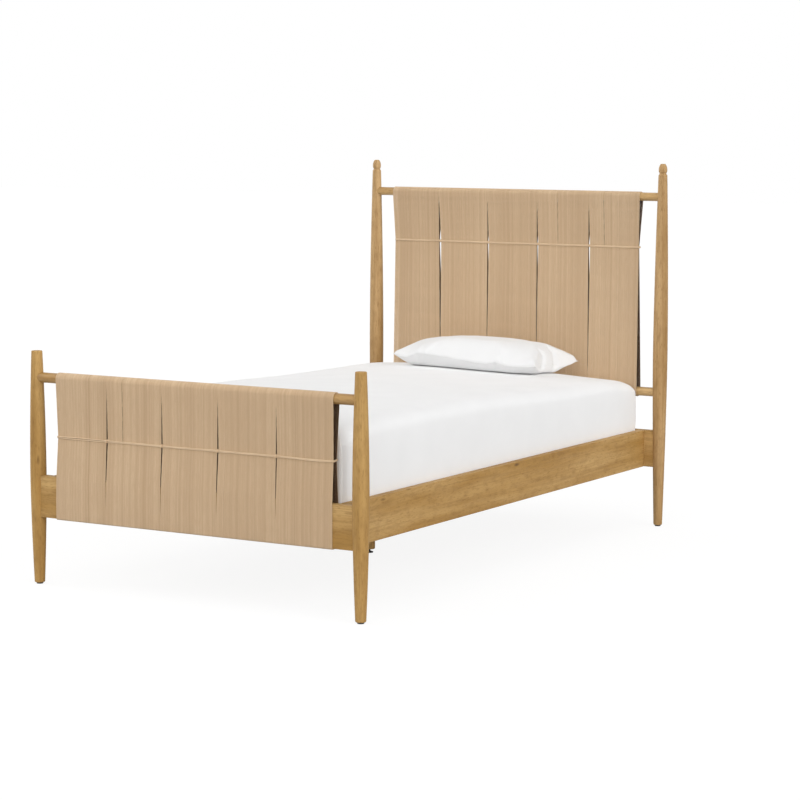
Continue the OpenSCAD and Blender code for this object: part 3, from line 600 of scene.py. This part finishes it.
bind_radius = 1.5 * mm
drawn_in_half = 488.5 * mm
for end in panels:
    node = f"{end}_binding_cord"
    low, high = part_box(node)
    centre = (low + high) / 2
    half_x = drawn_in_half + bind_radius
    half_y = (high.y - low.y) / 2 - bind_radius
    lines = []
    for turn in (-1, 1):
        points = []
        for x, y in round_panel(half_x, half_y, 4 * mm, 110):
            apart = bind_radius
            wave = 0.5 * mm * noise.noise(Vector((x * 11, y * 40, 3.1 if end == "foot" else 7.7)))
            if end == "foot":
                if y < 0:
                    apart += 1.0 * mm * swell(x, -0.40, 0.09)
                    wave -= 1.6 * mm * swell(x, 0.43, 0.06)
                else:
                    wave += 1.2 * mm * swell(x, 0.49, 0.05)
            points.append(Vector((x, centre.y + y, centre.z + wave + turn * apart)))
        lines.append((points, 0.95, bind_radius, Vector((0, 0, 1))))
    piece = tube_mesh(f"{end}_binding_turns", lines, 10)
    dress(piece, wound_cord)
    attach(piece, "bed_frame")
    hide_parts(node)

# ---------------------------------------------------------------- lashings in the slits
# In each slit a thinner end of cord is lashed twice round the front and back runs of the binding
# cord, and ends in an overhand knot at the front.
for end, panel in panels.items():
    node = f"{end}_cord_ties"
    low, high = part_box(f"{end}_binding_cord")
    centre = (low + high) / 2
    thread = 1.15 * mm if end == "foot" else 0.85 * mm
    reach = (high.y - low.y) / 2 + thread
    lift = (high.z - low.z) / 2 + thread
    lines = []
    for line in panel["lines"][1:5]:
        slit_x = line[1] * mm
        for turn in (-1, 1):
            ring = round_panel(reach, lift, lift * 0.95, 6)
            points = [
                Vector((slit_x + turn * thread * 1.05, centre.y + u, centre.z + v)) for u, v in ring
            ]
            lines.append((points, 0.9, thread, Vector((1, 0, 0))))
        knot = []
        for i in range(40):
            t = 2 * math.pi * i / 40
            knot.append(Vector((
                slit_x + 1.15 * thread * (math.sin(t) + 2 * math.sin(2 * t)) * 0.8,
                centre.y - reach - thread * 1.6 - 1.1 * thread * math.sin(3 * t),
                centre.z + 1.15 * thread * (math.cos(t) - 2 * math.cos(2 * t)) * 0.8,
            )))
        lines.append((knot, 1.0, thread, Vector((0, 1, 0))))
    piece = tube_mesh(f"{end}_lashings", lines, 8)
    dress(piece, wound_cord)
    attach(piece, "bed_frame")
    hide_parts(node)


# ---------------------------------------------------------------- mattress
# A sprung foam mattress in a woven striped ticking. It drops in between the side rails and lies
# on the slats, its top a little crowned and its edges rolled.
def edit(piece):
    """Selects one piece alone and goes into edit mode with nothing in it selected."""
    bpy.ops.object.select_all(action="DESELECT")
    bpy.context.view_layer.objects.active = piece
    piece.select_set(True)
    bpy.ops.object.mode_set(mode="EDIT")
    bpy.ops.mesh.select_all(action="DESELECT")


def done():
    """Goes back out of edit mode."""
    bpy.ops.object.mode_set(mode="OBJECT")
    bpy.ops.object.select_all(action="DESELECT")


def block(name, size, centre, cuts):
    """A block cut into a grid, its place in its mesh."""
    bpy.ops.object.select_all(action="DESELECT")
    bpy.ops.mesh.primitive_cube_add(size=1, location=centre, scale=size)
    piece = bpy.context.object
    piece.name = piece.data.name = name
    bpy.ops.object.transform_apply(location=True, rotation=True, scale=True)
    edit(piece)
    bpy.ops.mesh.select_all(action="SELECT")
    bpy.ops.mesh.subdivide(number_cuts=cuts)
    done()
    return piece


def smooth_step(value, low, high):
    """0 below low, 1 above high and a smooth rise between."""
    share = min(1.0, max(0.0, (value - low) / (high - low)))
    return share * share * (3 - 2 * share)


bed_low, bed_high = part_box("mattress")
bed_middle = (bed_low + bed_high) / 2
bed_half = (bed_high - bed_low) / 2
side_swell = 9 * mm
end_swell = 2.5 * mm
corner_power = 14
core_inset = 4 * mm
sheet_inset = 0.8 * mm


def mattress_top(x, y):
    """Height of the mattress's top at a place well inside its edges: crowned, a little higher
    towards the foot, falling away at both ends and to the right-hand corner of the head, and pressed
    in under the pillow."""
    near_head = smooth_step(y, 0.0, 0.6)
    top = 549 * mm + 11 * mm * smooth_step(-y, -0.25, 0.25)
    top -= (40 + 43 * near_head) * mm * x * x + 12 * mm * near_head * x
    end = max(0.0, (abs(y) - 0.65) / 0.30)
    top -= 7 * mm * smooth_step(y, 0.40, 0.60) * math.exp(-(((x - 0.06) / 0.26) ** 2))
    top -= 4.5 * mm * smooth_step(y, 0.70, 0.92) * math.exp(-(((x - 0.33) / 0.14) ** 2))
    return top - 24 * mm * end * end


def on_mattress(point, inset):
    """Where a point of the plain block ends on the mattress, inset from its skin: it crowds towards
    the edges, which are rolled, and the sides swell."""
    share = [math.sin(math.pi / 2 * (point[i] - bed_middle[i]) / bed_half[i]) for i in range(3)]
    top = smooth_step(share[2], -0.6, 0.6)
    roll = ((32 + 11 * top) * mm, (36 + 12 * top) * mm, (30 + 10 * top) * mm)
    place, away = [], []
    for i in range(3):
        reach = bed_half[i] - inset
        at = share[i] * reach
        kept = min(max(at, roll[i] - reach), reach - roll[i])
        place.append(kept)
        away.append((at - kept) / roll[i])
    level = (abs(away[0]) ** corner_power + abs(away[1]) ** corner_power) ** (1 / corner_power)
    size = math.hypot(level, away[2])
    if size > 1e-9:
        place = [p + r * a / size for p, r, a in zip(place, roll, away)]
    x, y, z = place
    bulge = max(0.0, 1 - (z / bed_half.z) ** 4)
    x += math.copysign(side_swell * bulge, x) * smooth_step(abs(x) / bed_half.x, 0.8, 1.0)
    y += math.copysign(end_swell * bulge, y) * smooth_step(abs(y) / bed_half.y, 0.9, 1.0)
    x, y, z = bed_middle.x + x, bed_middle.y + y, bed_middle.z + z
    z += smooth_step(z, bed_middle.z - 30 * mm, bed_high.z) * (mattress_top(x, y) - bed_high.z)
    return Vector((x, y, z))


core = block("mattress_core", tuple(bed_half * 2), tuple(bed_middle), 33)
for vertex in core.data.vertices:
    vertex.co = on_mattress(vertex.co, core_inset)
core.data.shade_smooth()
ticking, tree, surface = new_material("striped_ticking")
place = tree.nodes.new("ShaderNodeTexCoord").outputs["Object"]
stripes = add_node(tree, "ShaderNodeTexWave", {"bands_direction": "X"}, Vector=place, Scale=14.0)
stripes = stripes.outputs["Fac"]
weave = add_node(tree, "ShaderNodeTexNoise", Vector=place, Scale=1500.0, Detail=2.0).outputs["Fac"]
shade = ramp(tree, stripes, 0.86, 0.93, colour(226, 223, 215), colour(168, 176, 190))
shade = mix_colours(tree, part_of(tree, weave, 0.12), shade, colour(190, 186, 178))
tree.links.new(shade, surface.inputs["Base Color"])
bump = add_node(tree, "ShaderNodeBump", Height=weave, Strength=0.3, Distance=0.0003)
tree.links.new(bump.outputs[0], surface.inputs["Normal"])
surface.inputs["Roughness"].default_value = 0.9
dress(core, ticking)
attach(core, "mattress")
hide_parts("mattress")

# ---------------------------------------------------------------- fitted sheet
# A fitted sheet of plain white cotton, sewn to the mattress's shape at its corners. It is pulled
# smooth over the top and sides and under the bottom edge, where an elastic hem holds it.
tuck = 120 * mm
sheet = block("fitted_sheet", tuple(bed_half * 2), tuple(bed_middle), 41)
for vertex in sheet.data.vertices:
    vertex.co = on_mattress(vertex.co, sheet_inset)
edit(sheet)
bpy.ops.mesh.select_mode(type="FACE")
done()
for face in sheet.data.polygons:
    under = face.center.z < bed_low.z + 6 * mm
    inside = (
        abs(face.center.x - bed_middle.x) < bed_half.x - tuck
        and abs(face.center.y - bed_middle.y) < bed_half.y - tuck
    )
    face.select = under and inside
bpy.context.view_layer.objects.active = sheet
sheet.select_set(True)
bpy.ops.object.mode_set(mode="EDIT")
bpy.ops.mesh.delete(type="FACE")
done()


def finish_with(piece, kind, **values):
    """Adds a modifier to a piece and applies it."""
    modifier = piece.modifiers.new(kind.lower(), kind)
    for key, value in values.items():
        setattr(modifier, key, value)
    bpy.ops.object.select_all(action="DESELECT")
    bpy.context.view_layer.objects.active = piece
    piece.select_set(True)
    bpy.ops.object.modifier_apply(modifier=modifier.name)
    bpy.ops.object.select_all(action="DESELECT")


finish_with(sheet, "SUBSURF", levels=1, render_levels=1)
outward = [vertex.normal.copy() for vertex in sheet.data.vertices]
for vertex, normal in zip(sheet.data.vertices, outward):
    x, y, z = vertex.co
    level = (z - bed_low.z) / (bed_high.z - bed_low.z)
    ripple = 0.5 * mm * noise.noise(Vector((x * 5, y * 3, z * 5)))
    low_edge = smooth_step(level, 0.55, 0.05)
    ripple += 0.8 * mm * low_edge * noise.noise(Vector(((x + y) * 16, z * 2.5, 5.0)))
    if level < 0.03:
        ripple = 0.0
    vertex.co += normal * ripple
finish_with(sheet, "SOLIDIFY", thickness=0.6 * mm, offset=-1)
sheet.data.shade_smooth()


def white_cotton(name, tone, threads, crease):
    """Plain white cotton, with its weave and faint creases."""
    material, tree, surface = new_material(name)
    place = tree.nodes.new("ShaderNodeTexCoord").outputs["Object"]
    weave = add_node(tree, "ShaderNodeTexNoise", Vector=place, Scale=threads, Detail=2.0).outputs["Fac"]
    cloud = add_node(tree, "ShaderNodeTexNoise", Vector=place, Scale=9.0, Detail=4.0).outputs["Fac"]
    shade = ramp(tree, cloud, 0.3, 0.7, [c * 0.975 for c in tone[:3]] + [1], tone)
    shade = mix_colours(tree, part_of(tree, weave, 0.06), shade, [c * 0.8 for c in tone[:3]] + [1])
    tree.links.new(shade, surface.inputs["Base Color"])
    soft = add_node(tree, "ShaderNodeTexNoise", Vector=place, Scale=14.0, Detail=5.0).outputs["Fac"]
    folds = add_node(tree, "ShaderNodeBump", Height=soft, Strength=crease, Distance=0.004)
    bump = add_node(
        tree, "ShaderNodeBump", Height=weave, Strength=0.25, Distance=0.0002, Normal=folds.outputs[0]
    )
    tree.links.new(bump.outputs[0], surface.inputs["Normal"])
    surface.inputs["Roughness"].default_value = 0.85
    surface.inputs["Specular IOR Level"].default_value = 0.2
    surface.inputs["Sheen Weight"].default_value = 0.12
    surface.inputs["Sheen Roughness"].default_value = 0.5
    return material


dress(sheet, white_cotton("white_percale", (0.895, 0.895, 0.895, 1), 2400.0, 0.05))
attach(sheet, "mattress")
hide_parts("mattress")

# ---------------------------------------------------------------- pillow
# A fibre-filled pillow in a plain white cotton case with knife-edge seams. Filled and sewn shut,
# it rises to a crown, its corners stay pointed, and its seams pucker.
flat_x, flat_y = 0.585, 0.334
bpy.ops.object.select_all(action="DESELECT")
bpy.ops.mesh.primitive_grid_add(x_subdivisions=78, y_subdivisions=46, size=1, location=(0, 0, 0))
pillow = bpy.context.object
pillow.name = pillow.data.name = "pillow_in_case"
for vertex in pillow.data.vertices:
    x, y, _ = vertex.co * 2
    vertex.co = (x * flat_x / 2, y * flat_y / 2, 14 * mm * (1 - x ** 4) * (1 - y ** 4))
edit(pillow)
bpy.ops.mesh.select_all(action="SELECT")
bpy.ops.mesh.duplicate()
bpy.ops.transform.resize(value=(1, 1, -1), center_override=(0, 0, 0))
bpy.ops.mesh.flip_normals()
bpy.ops.mesh.select_all(action="SELECT")
bpy.ops.mesh.remove_doubles(threshold=0.00005)
bpy.ops.mesh.normals_make_consistent(inside=False)
done()
flat = [vertex.co.copy() for vertex in pillow.data.vertices]
seam_points = [i for i, co in enumerate(flat) if abs(co.z) < 1e-6]


def round_the_seam(i):
    """How far round the flat seam a point lies, from the left end of the front edge."""
    x, y = flat[i].x / flat_x + 0.5, flat[i].y / flat_y + 0.5
    if y < 1e-4:
        return x
    if x > 1 - 1e-4:
        return 1 + y
    return 3 - x if y > 1 - 1e-4 else 4 - y


seam_points.sort(key=round_the_seam)
cloth = pillow.modifiers.new("cloth", "CLOTH")
cloth.settings.quality = 5
cloth.settings.mass = 0.25
cloth.settings.tension_stiffness = 20
cloth.settings.compression_stiffness = 12
cloth.settings.shear_stiffness = 4
cloth.settings.bending_stiffness = 0.15
cloth.settings.air_damping = 2
cloth.settings.use_pressure = True
cloth.settings.uniform_pressure_force = 3
cloth.settings.effector_weights.gravity = 0
cloth.collision_settings.use_collision = False
cloth.point_cache.frame_start = 1
cloth.point_cache.frame_end = 21
for now in range(1, 21):
    scene.frame_set(now)
bpy.context.view_layer.objects.active = pillow
pillow.select_set(True)
bpy.ops.object.modifier_apply(modifier="cloth")
scene.frame_set(1)
bpy.ops.object.select_all(action="DESELECT")

# Heights in millimetres, each at its place along the pillow in millimetres: the seam's along the
# front and along the right end, the seam's at the four corners from the front left one on, the
# crown's over the seam and the belly's under it.
front_seam = (
    (-273, 586), (-248, 581), (-221, 579), (-202, 586), (-179, 595), (-156, 594), (-131, 592), (-75, 588),
    (-14, 581), (63, 573), (96, 572), (112, 576), (129, 580), (146, 575), (165, 570), (200, 568),
    (240, 569), (275, 571),
)
right_seam = ((602, 571), (640, 561), (700, 556), (778, 555), (828, 556), (870, 559), (905, 566))
corner_heights = (586 * mm, 571 * mm, 566 * mm, 578 * mm)
crown = (
    (-273, 56), (-206, 57), (-162, 62), (-106, 68), (-51, 71), (16, 72), (61, 72), (116, 71), (172, 70),
    (216, 72), (240, 77), (262, 88), (283, 96),
)
belly = ((-273, 60), (-200, 80), (170, 80), (225, 62), (283, 26))


def read_off(table, at):
    """A height in metres from a table of (place, height) in millimetres."""
    at = min(max(at / mm, table[0][0]), table[-1][0])
    for (x0, z0), (x1, z1) in zip(table, table[1:]):
        if at <= x1:
            share = (at - x0) / (x1 - x0)
            return (z0 + (z1 - z0) * share * share * (3 - 2 * share)) * mm
    return table[-1][1] * mm


corners = [
    flat.index(min(flat, key=lambda co: (co.x * u + co.y * v)))
    for u, v in ((1, 1), (-1, 1), (-1, -1), (1, -1))
]
found = [pillow.data.vertices[i].co.copy() for i in corners]
wide = (found[1].x - found[0].x + found[2].x - found[3].x) / 2
deep = (found[3].y - found[0].y + found[2].y - found[1].y) / 2
highest = max(vertex.co.z for vertex in pillow.data.vertices)
left_end, right_end, front_end, back_end = -277 * mm, 283 * mm, 601 * mm, 904 * mm


def on_line(line, at):
    """Reads a value off a line of (place, value) points, sorted by place."""
    for (x0, y0), (x1, y1) in zip(line, line[1:]):
        if at <= x1:
            return y0 + (y1 - y0) * max(0.0, at - x0) / max(x1 - x0, 1e-9)
    return line[-1][1]


edge_points = [(round_the_seam(i), pillow.data.vertices[i].co.copy()) for i in seam_points]
front_line = sorted((co.x / wide + 0.5, co.y / deep + 0.5) for place, co in edge_points if place <= 1)
back_line = sorted((co.x / wide + 0.5, co.y / deep + 0.5) for place, co in edge_points if 2 <= place <= 3)
for vertex in pillow.data.vertices:
    across = vertex.co.x / wide + 0.5
    along = vertex.co.y / deep + 0.5
    lift = vertex.co.z / highest
    front_in, back_in = on_line(front_line, across), on_line(back_line, across)
    along += 0.85 * ((along - front_in) / (back_in - front_in) - along)
    slope = (0.15 if lift > 0 else 0.2) * abs(lift)
    along += slope * ((1 - min(max(along, 0), 1)) ** 4 - min(max(along, 0), 1) ** 4)
    x = left_end + (right_end - left_end) * across + 10 * mm * along * (2 * across - 1)
    y = front_end + (back_end - front_end) * along
    u, v = min(max(across, 0), 1), min(max(along, 0), 1)
    front = corner_heights[0] * (1 - u) + corner_heights[1] * u
    back = corner_heights[3] * (1 - u) + corner_heights[2] * u
    seam = front * (1 - v) + back * v
    seam += (read_off(front_seam, x) - front) * math.exp(-((y - front_end) / (45 * mm)) ** 2)
    side = corner_heights[1] * (1 - v) + corner_heights[2] * v
    seam += (read_off(right_seam, y) - side) * math.exp(-((x - right_end) / (40 * mm)) ** 2)
    if lift > 0:
        lift **= 1 - 0.3 * smooth_step(abs(2 * u - 1), 0.76, 1.0)
    z = seam + lift * read_off(crown if lift > 0 else belly, x)
    ground = mattress_top(x, y) + 1.5 * mm
    above = z - ground
    soft = 3 * mm
    z = ground + (above if above > 8 * soft else soft * math.log1p(math.exp(above / soft)))
    vertex.co = (x, y, z)
welt = [pillow.data.vertices[i].co.copy() for i in seam_points]
finish_with(pillow, "SUBSURF", levels=1, render_levels=1)
pillow.data.shade_smooth()
sateen = white_cotton("white_sateen", (0.8, 0.8, 0.8, 1), 2400.0, 0.06)
dress(pillow, sateen)
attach(pillow, "pillow")
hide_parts("pillow")
seam_ridge = tube_mesh("pillow_seam", [(welt, 1.0, 1.1 * mm, Vector((0, 0, 1)))], 8)
dress(seam_ridge, sateen)
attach(seam_ridge, "pillow")
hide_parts("pillow")
